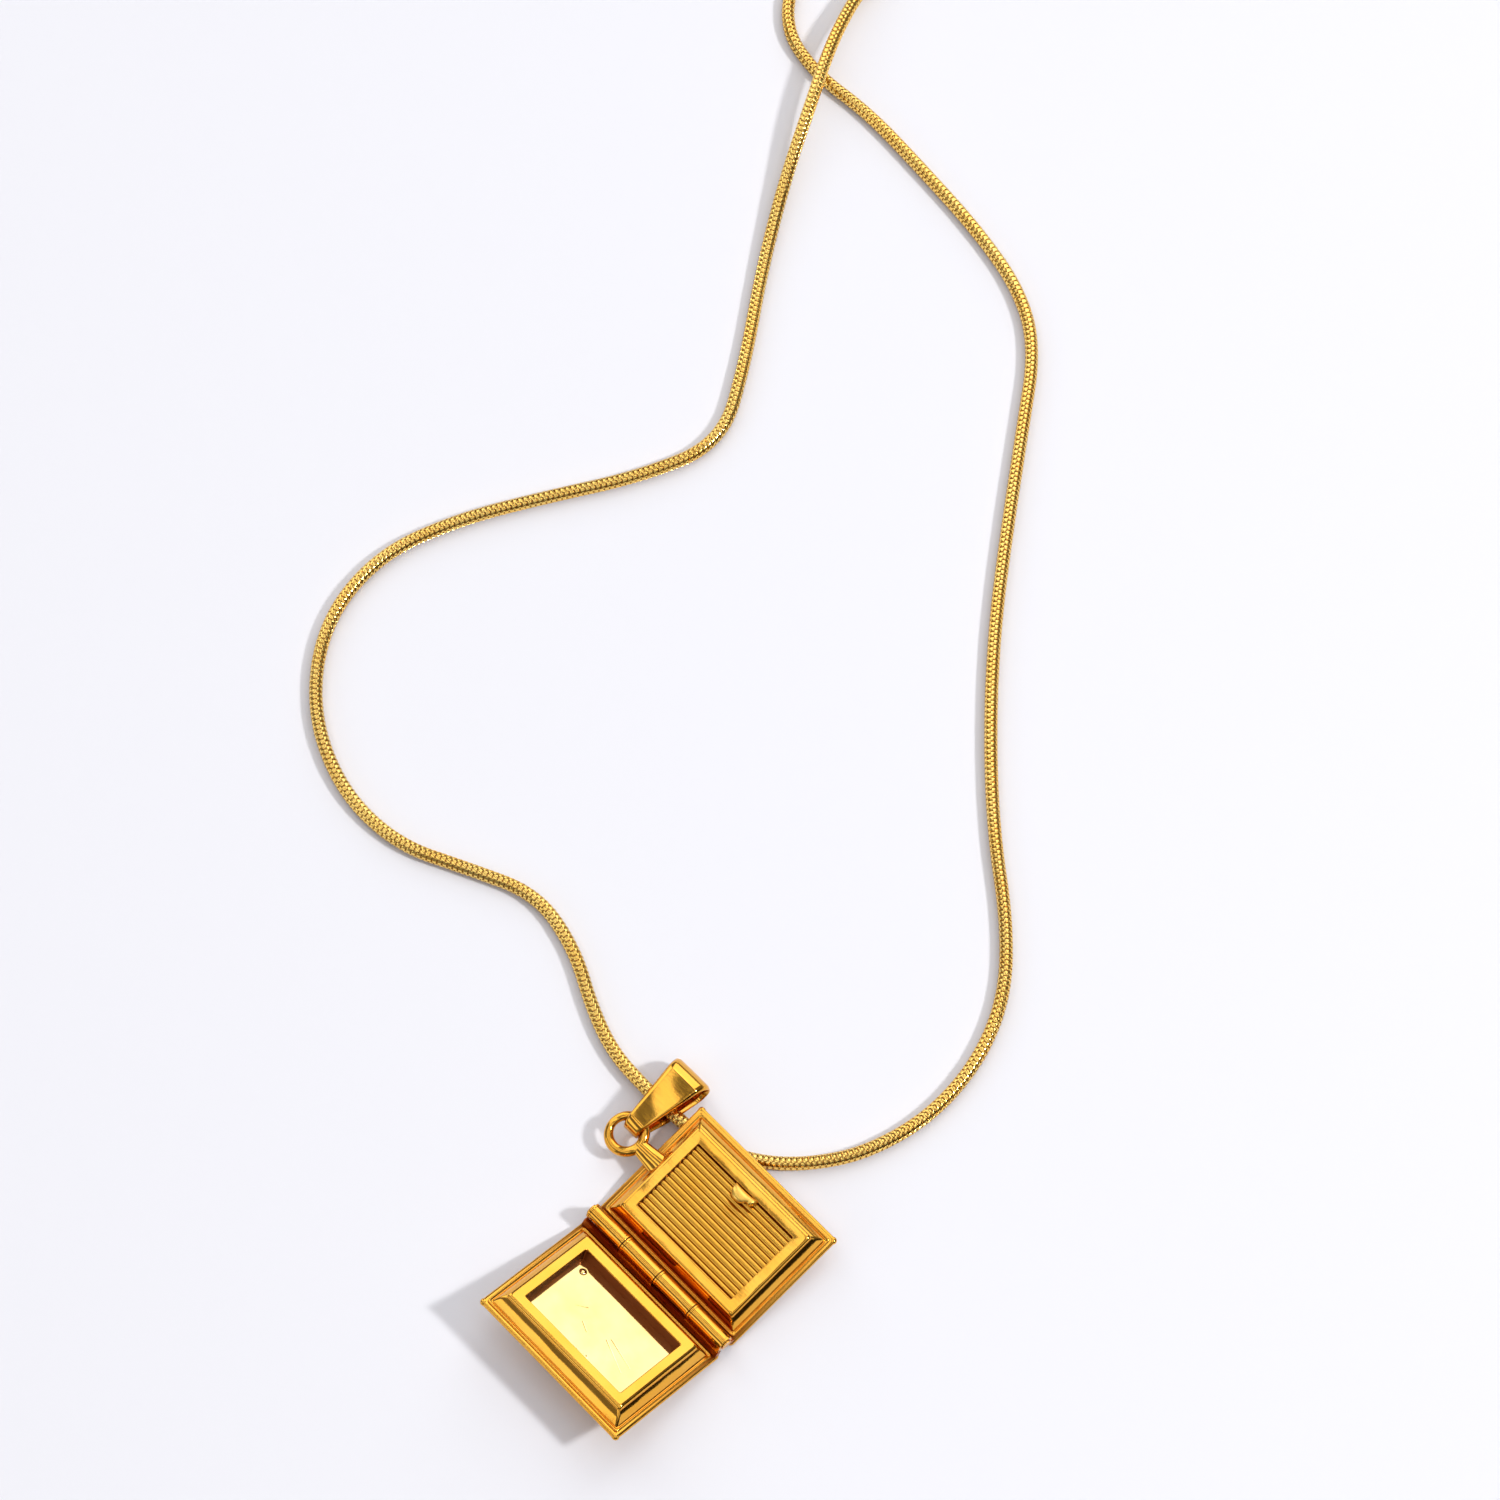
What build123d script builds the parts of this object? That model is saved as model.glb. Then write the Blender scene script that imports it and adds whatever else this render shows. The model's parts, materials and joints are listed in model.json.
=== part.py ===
"""Book locket on a round snake chain, lying open on a table.

Millimetres, +Z up, z = 0 on the table.  +Y runs along the locket's hinge towards the bail and +X points
at the back leaf.  The origin is below the middle of the pendant (locket, ring and bail).
Each leaf has its own plane through the hinge line: x outwards from the hinge, z out of its inner face.
"""

from build123d import *
import math
import os

# ---- locket leaves ----
LEAF_WIDTH = 13.5
LEAF_HEIGHT = 18.0
LEAF_THICKNESS = 2.3  # from the plane where the leaves meet to the outside of the cover
HINGE_GAP = 0.5  # hinge line to the near edge of a leaf
BACK_TILT = 9.5
FRONT_TILT = 19.5
HINGE_X = -0.9
HINGE_Y = -2.55

# ---- cover: the outer plate of a leaf ----
COVER_THICKNESS = 0.6
COVER_EDGE_RADIUS = 0.22
COVER_CORNER_RADIUS = 0.3
NUB_RADIUS = 0.36
NUB_INSET = 0.3

# ---- frame: the inner stamping with mitred, sloping sides ----
MEETING_GAP = 0.06  # frame top to the plane where the leaves meet
FLANGE_INSET = 0.42
FLANGE_HEIGHT = 0.2
SLOPE_INSET = 0.72
LAND_INSET = 1.72
LAND_RISE = 0.22
LAND_TAPER = 24
BORDER = 2.75  # leaf edge to window edge
EDGE_BREAK = 0.07

# ---- inserts ----
PANEL_TOP = 0.62  # depth of the rib roots below the meeting plane
PANEL_THICKNESS = 0.35
RIB_COUNT = 14
RIB_RADIUS = 0.31
PICTURE_PLATE_THICKNESS = 0.12
PIP_RADIUS = 0.25
PIP_HEIGHT = 0.05
PIP_TAPER = 45
PIP_INSET = 1.1
TONGUE_LENGTH = 2.8
TONGUE_THICKNESS = 0.5
TONGUE_RISE = 0.5
TONGUE_FOOT = 0.4
TONGUE_OFFSET = -0.25
TONGUE_WALL_GAP = 0.2
TONGUE_TIP_RADIUS = 0.125

# ---- hinge ----
KNUCKLE_COUNT = 4
KNUCKLE_RADIUS = 0.75
COLLAR_RADIUS = 0.81
COLLAR_WIDTH = 0.24
COLLAR_EDGE_RADIUS = 0.048
KNUCKLE_CLEARANCE = 0.06
BARREL_END_GAP = 0.12
PIN_RADIUS = 0.3
RUNNING_CLEARANCE = 0.04
PIN_HEAD_RADIUS = 0.55
ARM_INNER = 0.34
ARM_OUTER = 0.88
ARM_TOP = 0.42  # below the hinge line, on the inner side of an arm
ARM_OUTER_TOP = 0.21
STRIP_TOP = 0.92  # top of the strip that the arms stand on, below the hinge line

# ---- ring on the top edge ----
RING_MAJOR = 1.69
RING_WIRE_RADIUS = 0.46
RING_REACH = 12.01  # ring centre beyond the hinge's middle
RING_DEPTH = 1.32  # ring plane below the meeting plane
NECK_BASE_RADIUS = 0.75
NECK_TOP_RADIUS = 0.41

# ---- bail: tapered ribbon folded round the chain and through the ring ----
BAIL_Y = 9.38
RIBBON = 0.35
BAIL_WIDE = 4.3
BAIL_NARROW = 1.7
BAIL_NARROW_X = 6.75
BAIL_END_X = 14.83
BAIL_FOLD_RADIUS = 0.75  # inside the fold that holds the ring
BAIL_FOLD_Z = 2.15
BAIL_BEND_RADIUS = 1.25  # inside the wide end
BAIL_BELLY_X = 11.0

# ---- chain ----
CHAIN_DIAMETER = 1.35
CHAIN_Z = CHAIN_DIAMETER / 2
BAIL_CLEARANCE = 0.05
BAIL_BORE_Z = RIBBON + BAIL_CLEARANCE + CHAIN_Z  # the chain rides on the bail's lower ribbon
CROSSING_Z = 2.5  # the upper strand where the chain crosses itself
END_Z = 0.95  # the end caps are fatter than the chain
CHAIN_ROUTE = [
    (144.5, 97.0, END_Z),
    (143.0, 91.0, END_Z),
    (138.5, 84.5, CHAIN_Z),
    (130.0, 81.0, CHAIN_Z),
    (119.5, 82.0, CHAIN_Z),
    (109.0, 82.0, 1.2),
    (101.4, 79.1, CROSSING_Z),
    (94.4, 75.2, CROSSING_Z),
    (86.5, 71.0, 1.2),
    (78.0, 65.5, CHAIN_Z),
    (70.0, 59.5, CHAIN_Z),
    (62.3, 54.8, CHAIN_Z),
    (54.0, 57.8, CHAIN_Z),
    (46.0, 62.5, CHAIN_Z),
    (38.0, 66.8, CHAIN_Z),
    (30.0, 69.3, CHAIN_Z),
    (21.5, 67.8, CHAIN_Z),
    (14.5, 62.0, CHAIN_Z),
    (10.8, 54.0, CHAIN_Z),
    (10.8, 46.0, CHAIN_Z),
    (14.0, 39.5, CHAIN_Z),
    (17.0, 33.0, CHAIN_Z),
    (15.8, 26.5, CHAIN_Z),
    (12.9, 21.0, CHAIN_Z),
    (11.3, 16.5, 0.8),
    (11.0, 12.0, BAIL_BORE_Z),
    (11.1, 7.2, BAIL_BORE_Z),
    (11.7, 3.2, CHAIN_Z),
    (13.7, -0.8, CHAIN_Z),
    (17.0, -4.2, CHAIN_Z),
    (21.5, -7.0, CHAIN_Z),
    (28.0, -8.6, CHAIN_Z),
    (35.0, -8.0, CHAIN_Z),
    (41.5, -5.2, CHAIN_Z),
    (47.0, 0.0, CHAIN_Z),
    (52.5, 7.3, CHAIN_Z),
    (59.5, 14.8, CHAIN_Z),
    (67.5, 22.2, CHAIN_Z),
    (76.0, 28.9, CHAIN_Z),
    (84.5, 35.3, CHAIN_Z),
    (91.7, 40.7, CHAIN_Z),
    (95.2, 46.3, CHAIN_Z),
    (96.9, 54.0, CHAIN_Z),
    (97.8, 63.0, CHAIN_Z),
    (98.4, 71.0, CHAIN_Z),
    (97.7, 78.0, CHAIN_Z),
    (99.2, 84.2, CHAIN_Z),
    (105.5, 88.5, CHAIN_Z),
    (110.0, 96.0, CHAIN_Z),
    (113.5, 104.0, CHAIN_Z),
    (119.5, 109.5, 0.8),
    (127.0, 111.5, END_Z),
    (133.5, 111.5, END_Z),
]
ARC_SHARE = 0.45  # of the shorter run beside a bend

# ---- end caps, jump rings and clasp ----
CAP_RADIUS = 0.93
CAP_SOCKET = 2.4
CAP_WALL = 0.6
CAP_EDGE_RADIUS = 0.155
SOCKET_CLEARANCE = 0.03
EYE_MAJOR = 0.68
EYE_WIRE_RADIUS = 0.25
EYE_SINK = 0.1  # how far a cap's loop is sunk into its end
LINK_MAJOR = 1.6
END_RING_MAJOR = 1.9
LINK_WIRE_RADIUS = 0.27
CLASP_THICKNESS = 1.5
CLASP_EDGE_BREAK = 0.14
CLASP_TAIL_X = 1.8
CLASP_TAIL_RADIUS = 1.15
CLASP_HEAD_X = 7.6
CLASP_HEAD_RADIUS = 2.5
CLASP_THROAT_X = 4.6
CLASP_THROAT_RADIUS = 0.85
CLASP_MOUTH_RADIUS = 1.45
GATE_START = 3.5
GATE_END = 8.2
GATE_FLOOR = 0.3
PIVOT = (2.7, 0.45)
PIVOT_RADIUS = 0.6
CLASP_PIN_RADIUS = 0.28
LEVER_THICKNESS = 0.7
LEVER_ELBOW = (5.6, 1.55)
LEVER_ELBOW_RADIUS = 0.42
LEVER_TIP = (7.55, 2.0)
LEVER_TIP_RADIUS = 0.4
THUMB_TAB = (4.0, 2.15)
THUMB_TAB_RADIUS = 0.35
SLOT_CLEARANCE = 0.08
SPRING_THICKNESS = 0.12
SPRING_LENGTH = 1.3

back_slope = math.radians(BACK_TILT)
front_slope = math.radians(FRONT_TILT)

# The near lower edge of the back leaf, which is rounded, stands on the table.
HINGE_Z = (
    (LEAF_THICKNESS - COVER_EDGE_RADIUS) * math.cos(back_slope)
    - (HINGE_GAP + COVER_EDGE_RADIUS) * math.sin(back_slope)
    + COVER_EDGE_RADIUS
)
hinge = Vector(HINGE_X, HINGE_Y, HINGE_Z)
back_leaf = Plane(
    origin=hinge,
    x_dir=(math.cos(back_slope), 0, math.sin(back_slope)),
    z_dir=(-math.sin(back_slope), 0, math.cos(back_slope)),
)
front_leaf = Plane(
    origin=hinge,
    x_dir=(-math.cos(front_slope), 0, math.sin(front_slope)),
    z_dir=(math.sin(front_slope), 0, math.cos(front_slope)),
)
leaf_middle = HINGE_GAP + LEAF_WIDTH / 2
cover_top = LEAF_THICKNESS - COVER_THICKNESS
flange_top = cover_top - FLANGE_HEIGHT
land_foot = MEETING_GAP + LAND_RISE
window_width = LEAF_WIDTH - 2 * BORDER
window_height = LEAF_HEIGHT - 2 * BORDER
window_outer = HINGE_GAP + LEAF_WIDTH - BORDER
eye_reach = CAP_WALL + EYE_MAJOR - EYE_SINK  # chain's end to the middle of the cap's loop

os.makedirs("parts", exist_ok=True)


def save(piece, name):
    """Labels a finished piece and writes it as its own node."""
    piece.label = name
    export_step(piece, f"parts/{name}.step")


def leaf_rectangle(inset):
    """The leaf's outline, drawn in by an even margin, on the sketch in hand."""
    with Locations((leaf_middle, 0)):
        Rectangle(LEAF_WIDTH - 2 * inset, LEAF_HEIGHT - 2 * inset)


def window_outline(leaf):
    """The window's rectangle, lying on the inside of the cover."""
    with BuildSketch(leaf.offset(-cover_top)) as window:
        with Locations((leaf_middle, 0)):
            Rectangle(window_width, window_height)
    return window.sketch


def across_leaf(leaf, along):
    """The plane square to the hinge at a place along it: x outwards, y out of the inner face."""
    return Plane(
        origin=leaf.from_local_coords((0, along, 0)),
        x_dir=leaf.x_dir,
        z_dir=-leaf.y_dir,
    )


def leaf_cover(leaf):
    """Outer plate with rounded edges and a small nub at each outer corner."""
    normal = Axis(leaf.origin, leaf.z_dir)
    nub_middle = LEAF_THICKNESS - COVER_THICKNESS / 2
    with BuildPart() as cover:
        with BuildSketch(leaf.offset(-LEAF_THICKNESS)):
            leaf_rectangle(0)
        extrude(amount=COVER_THICKNESS)
        fillet(cover.edges().filter_by(normal), COVER_CORNER_RADIUS)
        fillet(cover.faces().filter_by(normal).edges(), COVER_EDGE_RADIUS)
        for side in (-1, 1):
            corner = (
                HINGE_GAP + LEAF_WIDTH - NUB_INSET,
                side * (LEAF_HEIGHT / 2 - NUB_INSET),
                -nub_middle,
            )
            with Locations(leaf.from_local_coords(corner)):
                Sphere(NUB_RADIUS)
    return cover.part


def leaf_frame(leaf):
    """Inner stamping: flange, mitred slope, raised land and window."""
    normal = Axis(leaf.origin, leaf.z_dir)
    slope_height = flange_top - land_foot
    slope_angle = math.degrees(math.atan2(LAND_INSET - SLOPE_INSET, slope_height))
    with BuildPart() as frame:
        with BuildSketch(leaf.offset(-cover_top)):
            leaf_rectangle(FLANGE_INSET)
        extrude(amount=FLANGE_HEIGHT)
        fillet(frame.faces().sort_by(normal)[-1].edges(), EDGE_BREAK)
        with BuildSketch(leaf.offset(-flange_top)):
            leaf_rectangle(SLOPE_INSET)
        extrude(amount=slope_height, taper=slope_angle)
        with BuildSketch(leaf.offset(-land_foot)):
            leaf_rectangle(LAND_INSET)
        extrude(amount=LAND_RISE, taper=LAND_TAPER)
        fillet(frame.faces().sort_by(normal)[-1].edges(), EDGE_BREAK)
        extrude(window_outline(leaf), amount=cover_top, mode=Mode.SUBTRACT)
        fillet(frame.faces().sort_by(normal)[-1].inner_wires().edges(), EDGE_BREAK)
    return frame.part


def hinge_strip(leaf):
    """The full-length strip on the cover's near edge that carries the leaf's barrel sections."""
    with BuildPart() as strip:
        with BuildSketch(across_leaf(leaf, LEAF_HEIGHT / 2 - BARREL_END_GAP)):
            with BuildLine():
                Polyline(
                    (ARM_INNER, -cover_top),
                    (ARM_OUTER, -cover_top),
                    (ARM_OUTER, -flange_top),
                    (KNUCKLE_RADIUS, -STRIP_TOP),
                    (ARM_INNER, -STRIP_TOP),
                    close=True,
                )
            make_face()
        extrude(amount=LEAF_HEIGHT - 2 * BARREL_END_GAP)
    return strip.part


def knuckle(leaf, index, bore_radius):
    """One barrel section of the hinge, with a collar at each end and an arm to its leaf's strip."""
    pitch = (LEAF_HEIGHT - 2 * BARREL_END_GAP) / KNUCKLE_COUNT
    length = pitch - KNUCKLE_CLEARANCE
    start = hinge.Y + LEAF_HEIGHT / 2 - BARREL_END_GAP - index * pitch - KNUCKLE_CLEARANCE / 2
    barrel = Plane(origin=(hinge.X, start, hinge.Z), x_dir=(1, 0, 0), z_dir=(0, -1, 0))
    arm_start = (start - hinge.Y) * leaf.y_dir.Y
    arm_plane = across_leaf(leaf, arm_start)
    arm_length = length * leaf.y_dir.Y
    with BuildPart() as piece:
        with BuildSketch(barrel):
            Circle(KNUCKLE_RADIUS)
        extrude(amount=length)
        for end in (0, length - COLLAR_WIDTH):
            with BuildSketch(barrel.offset(end)):
                Circle(COLLAR_RADIUS)
            extrude(amount=COLLAR_WIDTH)
        rims = piece.edges().filter_by(GeomType.CIRCLE).filter_by(
            lambda edge: edge.radius > (KNUCKLE_RADIUS + COLLAR_RADIUS) / 2
        )
        fillet(rims, COLLAR_EDGE_RADIUS)
        with BuildSketch(arm_plane):
            with BuildLine():
                Polyline(
                    (ARM_INNER, -STRIP_TOP),
                    (KNUCKLE_RADIUS, -STRIP_TOP),
                    (KNUCKLE_RADIUS, -ARM_OUTER_TOP),
                    (ARM_INNER, -ARM_TOP),
                    close=True,
                )
            make_face()
        extrude(amount=arm_length)
        with BuildSketch(barrel):
            Circle(bore_radius)
        extrude(amount=length, mode=Mode.SUBTRACT)
    return piece.part


def eye(centre, axis):
    """A small soldered wire loop, joined to the part in hand."""
    with Locations(Plane(origin=centre, z_dir=axis)):
        Torus(EYE_MAJOR, EYE_WIRE_RADIUS)


def end_cap(run):
    """Cup over the chain's end, with a loop.  The run plane starts where the chain ends."""
    mouth = Plane(origin=run.from_local_coords((-CAP_SOCKET, 0, 0)), z_dir=run.x_dir)
    loop_centre = run.from_local_coords((eye_reach, 0, 0))
    with BuildPart() as cap:
        with BuildSketch(mouth):
            Circle(CAP_RADIUS)
        extrude(amount=CAP_SOCKET + CAP_WALL)
        fillet(cap.edges().filter_by(GeomType.CIRCLE), CAP_EDGE_RADIUS)
        with BuildSketch(mouth):
            Circle(CHAIN_DIAMETER / 2 + SOCKET_CLEARANCE)
        extrude(amount=CAP_SOCKET, mode=Mode.SUBTRACT)
        eye(loop_centre, run.y_dir)
    return cap.part


def flat_ring(centre, axis, major):
    """A closed round wire link."""
    with BuildPart() as link:
        with Locations(Plane(origin=centre, z_dir=axis)):
            Torus(major, LINK_WIRE_RADIUS)
    return link.part


def round_bar(start, start_radius, end, end_radius):
    """A bar between two round ends, on the sketch in hand."""
    with BuildSketch(mode=Mode.PRIVATE) as bar:
        with Locations(start):
            Circle(start_radius)
        with Locations(end):
            Circle(end_radius)
        make_hull()
    add(bar.sketch)


# ---- back leaf: the half that hangs from the ring ----
back_cover = leaf_cover(back_leaf)
save(back_cover, "back_cover")
back_frame = leaf_frame(back_leaf)
save(back_frame, "back_frame")

rib_pitch = window_width / RIB_COUNT
rib_centre = math.sqrt(RIB_RADIUS**2 - (rib_pitch / 2) ** 2)
with BuildPart() as ribbed_panel:
    with BuildSketch(across_leaf(back_leaf, window_height / 2)):
        with Locations((leaf_middle, -PANEL_TOP - PANEL_THICKNESS / 2)):
            Rectangle(window_width, PANEL_THICKNESS)
        with Locations((leaf_middle, -PANEL_TOP - rib_centre)):
            with GridLocations(rib_pitch, 1, RIB_COUNT, 1):
                Circle(RIB_RADIUS)
        with Locations((leaf_middle, -PANEL_TOP)):
            Rectangle(window_width, 2 * PANEL_THICKNESS, mode=Mode.INTERSECT)
    extrude(amount=window_height)
save(ribbed_panel.part, "ribbed_panel")

rib_top = PANEL_TOP + rib_centre - RIB_RADIUS
tongue_start = TONGUE_OFFSET + TONGUE_LENGTH / 2
blade_outer = window_outer - TONGUE_WALL_GAP
with BuildPart() as latch_tongue:
    with BuildSketch(across_leaf(back_leaf, tongue_start)):
        with BuildLine():
            Polyline(
                (blade_outer - TONGUE_THICKNESS, -rib_top + RUNNING_CLEARANCE),
                (window_outer, -rib_top + RUNNING_CLEARANCE),
                (window_outer, -rib_top + TONGUE_FOOT),
                (blade_outer, -rib_top + TONGUE_FOOT),
                (blade_outer, TONGUE_RISE),
                (blade_outer - TONGUE_THICKNESS, TONGUE_RISE),
                close=True,
            )
        make_face()
    extrude(amount=TONGUE_LENGTH)
    blade_tip = latch_tongue.faces().sort_by(Axis(back_leaf.origin, back_leaf.z_dir))[-1]
    fillet(blade_tip.edges(), TONGUE_TIP_RADIUS)
save(latch_tongue.part, "latch_tongue")

save(hinge_strip(back_leaf), "back_hinge_strip")
for index, name in ((0, "back_knuckle_top"), (2, "back_knuckle_lower")):
    save(knuckle(back_leaf, index, PIN_RADIUS), name)

pin_start = Plane(origin=hinge + Vector(0, -LEAF_HEIGHT / 2, 0), z_dir=(0, 1, 0))
with BuildPart() as hinge_pin:
    with BuildSketch(pin_start):
        Circle(PIN_RADIUS)
    extrude(amount=LEAF_HEIGHT)
    for end in (0, LEAF_HEIGHT - BARREL_END_GAP):
        with BuildSketch(pin_start.offset(end)):
            Circle(PIN_HEAD_RADIUS)
        extrude(amount=BARREL_END_GAP)
save(hinge_pin.part, "hinge_pin")

ring_centre = back_leaf.from_local_coords((leaf_middle, RING_REACH, -RING_DEPTH))
neck_start = LEAF_HEIGHT / 2 - SLOPE_INSET
neck_length = RING_REACH - RING_MAJOR - neck_start
with BuildPart() as pendant_ring:
    neck_middle = back_leaf.from_local_coords((leaf_middle, neck_start + neck_length / 2, -RING_DEPTH))
    with Locations(Plane(origin=neck_middle, z_dir=(0, 1, 0))):
        Cone(NECK_BASE_RADIUS, NECK_TOP_RADIUS, neck_length)
    with Locations(Plane(origin=ring_centre, z_dir=back_leaf.z_dir)):
        Torus(RING_MAJOR, RING_WIRE_RADIUS)
    add(back_cover, mode=Mode.SUBTRACT)
    add(back_frame, mode=Mode.SUBTRACT)
save(pendant_ring.part, "pendant_ring")

# ---- front leaf: the half that opens ----
save(leaf_cover(front_leaf), "front_cover")
save(leaf_frame(front_leaf), "front_frame")

pip_place = (
    leaf_middle - window_width / 2 + PIP_INSET,
    -window_height / 2 + PIP_INSET,
    PICTURE_PLATE_THICKNESS - cover_top,
)
with BuildPart() as picture_plate:
    extrude(window_outline(front_leaf), amount=PICTURE_PLATE_THICKNESS)
    with BuildSketch(Plane(origin=front_leaf.from_local_coords(pip_place), z_dir=front_leaf.z_dir)):
        Circle(PIP_RADIUS)
    extrude(amount=PIP_HEIGHT, taper=PIP_TAPER)
save(picture_plate.part, "picture_plate")

save(hinge_strip(front_leaf), "front_hinge_strip")
for index, name in ((1, "front_knuckle_upper"), (3, "front_knuckle_bottom")):
    save(knuckle(front_leaf, index, PIN_RADIUS + RUNNING_CLEARANCE), name)

# ---- bail ----
bail_plane = Plane.XZ.offset(-BAIL_Y)
bail_circles = (
    (BAIL_NARROW_X + RIBBON + BAIL_FOLD_RADIUS, BAIL_FOLD_Z, BAIL_FOLD_RADIUS),
    (BAIL_BELLY_X, RIBBON + BAIL_BEND_RADIUS, BAIL_BEND_RADIUS),
    (BAIL_END_X - RIBBON - BAIL_BEND_RADIUS, RIBBON + BAIL_BEND_RADIUS, BAIL_BEND_RADIUS),
)


def bail_outline(thickness):
    """The ribbon's loop seen from the side, grown by a thickness, on the sketch in hand."""
    with BuildSketch(mode=Mode.PRIVATE) as loop:
        for x, z, radius in bail_circles:
            with Locations((x, z)):
                Circle(radius + thickness)
        make_hull()
    return loop.sketch


with BuildPart() as bail:
    with BuildSketch(bail_plane):
        add(bail_outline(RIBBON))
        add(bail_outline(0), mode=Mode.SUBTRACT)
    extrude(amount=BAIL_WIDE / 2, both=True)
    with BuildSketch():
        with BuildLine():
            Polyline(
                (BAIL_NARROW_X, BAIL_Y - BAIL_NARROW / 2),
                (BAIL_END_X, BAIL_Y - BAIL_WIDE / 2),
                (BAIL_END_X, BAIL_Y + BAIL_WIDE / 2),
                (BAIL_NARROW_X, BAIL_Y + BAIL_NARROW / 2),
                close=True,
            )
        make_face()
    extrude(amount=BAIL_WIDE, mode=Mode.INTERSECT)
save(bail.part, "bail")

# ---- chain ----
route = [Vector(*point) for point in CHAIN_ROUTE]
radii = []
for before, corner, after in zip(route, route[1:], route[2:]):
    turn = math.radians((corner - before).get_angle(after - corner))
    shorter = min((corner - before).length, (after - corner).length)
    radii.append(ARC_SHARE * shorter / math.tan(turn / 2))
with BuildPart() as snake_chain:
    with BuildLine() as chain_line:
        FilletPolyline(*route, radius=radii)
    with BuildSketch(Plane(origin=route[0], z_dir=route[1] - route[0])):
        Circle(CHAIN_DIAMETER / 2)
    sweep()
save(snake_chain.part, "snake_chain")
chain_length = sum(edge.length for edge in chain_line.edges())
chain_section = math.pi * CHAIN_DIAMETER**2 / 4
print("chain length", round(chain_length, 2), "smallest radius", round(min(radii), 2))
print("bend radii", [round(radius, 1) for radius in radii])
print("volume over section times length", snake_chain.part.volume / (chain_section * chain_length))

# ---- end caps and rings ----
clasp_run = Plane(origin=route[0], x_dir=route[0] - route[1], z_dir=(0, 0, 1))
ring_run = Plane(origin=route[-1], x_dir=route[-1] - route[-2], z_dir=(0, 0, 1))
save(end_cap(clasp_run), "end_cap_clasp_side")
save(end_cap(ring_run), "end_cap_ring_side")
clasp_link_centre = clasp_run.from_local_coords((eye_reach + LINK_MAJOR, 0, 0))
save(flat_ring(clasp_link_centre, (0, 0, 1), LINK_MAJOR), "clasp_jump_ring")
end_ring_centre = ring_run.from_local_coords((eye_reach + END_RING_MAJOR, 0, 0))
save(flat_ring(end_ring_centre, (0, 0, 1), END_RING_MAJOR), "end_ring")

# ---- lobster clasp ----
clasp = Plane(
    origin=clasp_run.from_local_coords((eye_reach + 2 * LINK_MAJOR, 0, 0)),
    x_dir=clasp_run.x_dir,
    z_dir=(0, 0, 1),
)
half_thickness = CLASP_THICKNESS / 2
slot_half = LEVER_THICKNESS / 2 + SLOT_CLEARANCE
slot_floor = PIVOT[1] - PIVOT_RADIUS - SLOT_CLEARANCE
slot_length = CLASP_THROAT_X - CLASP_THROAT_RADIUS / 2 - PIVOT[0]
spring_middle = (PIVOT[0], slot_floor - SPRING_THICKNESS / 2)
with BuildPart() as clasp_body:
    with BuildSketch(clasp):
        round_bar((CLASP_TAIL_X, 0), CLASP_TAIL_RADIUS, (CLASP_HEAD_X, 0), CLASP_HEAD_RADIUS)
    extrude(amount=half_thickness, both=True)
    with BuildSketch(clasp):
        round_bar((CLASP_THROAT_X, 0), CLASP_THROAT_RADIUS, (CLASP_HEAD_X, 0), CLASP_MOUTH_RADIUS)
        with Locations(((GATE_START + GATE_END) / 2, GATE_FLOOR + CLASP_HEAD_RADIUS / 2)):
            Rectangle(GATE_END - GATE_START, CLASP_HEAD_RADIUS)
    extrude(amount=half_thickness, both=True, mode=Mode.SUBTRACT)
    fillet(clasp_body.faces().filter_by(Axis.Z).edges(), CLASP_EDGE_BREAK)
    with BuildSketch(clasp):
        with Locations(PIVOT):
            Circle(PIVOT_RADIUS + SLOT_CLEARANCE)
        with Locations((PIVOT[0] + slot_length / 2, slot_floor + CLASP_TAIL_RADIUS)):
            Rectangle(slot_length, 2 * CLASP_TAIL_RADIUS)
        with Locations(spring_middle):
            Rectangle(SPRING_LENGTH, SPRING_THICKNESS)
    extrude(amount=slot_half, both=True, mode=Mode.SUBTRACT)
    with BuildSketch(clasp):
        with Locations(PIVOT):
            Circle(CLASP_PIN_RADIUS)
    extrude(amount=half_thickness, both=True, mode=Mode.SUBTRACT)
    eye(clasp.origin, clasp.y_dir)
save(clasp_body.part, "clasp_body")

with BuildPart() as clasp_lever:
    with BuildSketch(clasp):
        round_bar(PIVOT, PIVOT_RADIUS, LEVER_ELBOW, LEVER_ELBOW_RADIUS)
        round_bar(LEVER_ELBOW, LEVER_ELBOW_RADIUS, LEVER_TIP, LEVER_TIP_RADIUS)
        round_bar(PIVOT, THUMB_TAB_RADIUS, THUMB_TAB, THUMB_TAB_RADIUS)
        with Locations(PIVOT):
            Circle(CLASP_PIN_RADIUS + RUNNING_CLEARANCE, mode=Mode.SUBTRACT)
    extrude(amount=LEVER_THICKNESS / 2, both=True)
save(clasp_lever.part, "clasp_lever")

with BuildPart() as clasp_pin:
    with BuildSketch(clasp):
        with Locations(PIVOT):
            Circle(CLASP_PIN_RADIUS)
    extrude(amount=half_thickness, both=True)
save(clasp_pin.part, "clasp_pin")

with BuildPart() as clasp_spring:
    with BuildSketch(clasp):
        with Locations(spring_middle):
            Rectangle(SPRING_LENGTH, SPRING_THICKNESS)
    extrude(amount=LEVER_THICKNESS / 2, both=True)
save(clasp_spring.part, "clasp_spring")
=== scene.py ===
import bpy
import json
import math
from mathutils import Matrix, Vector, noise


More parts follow.
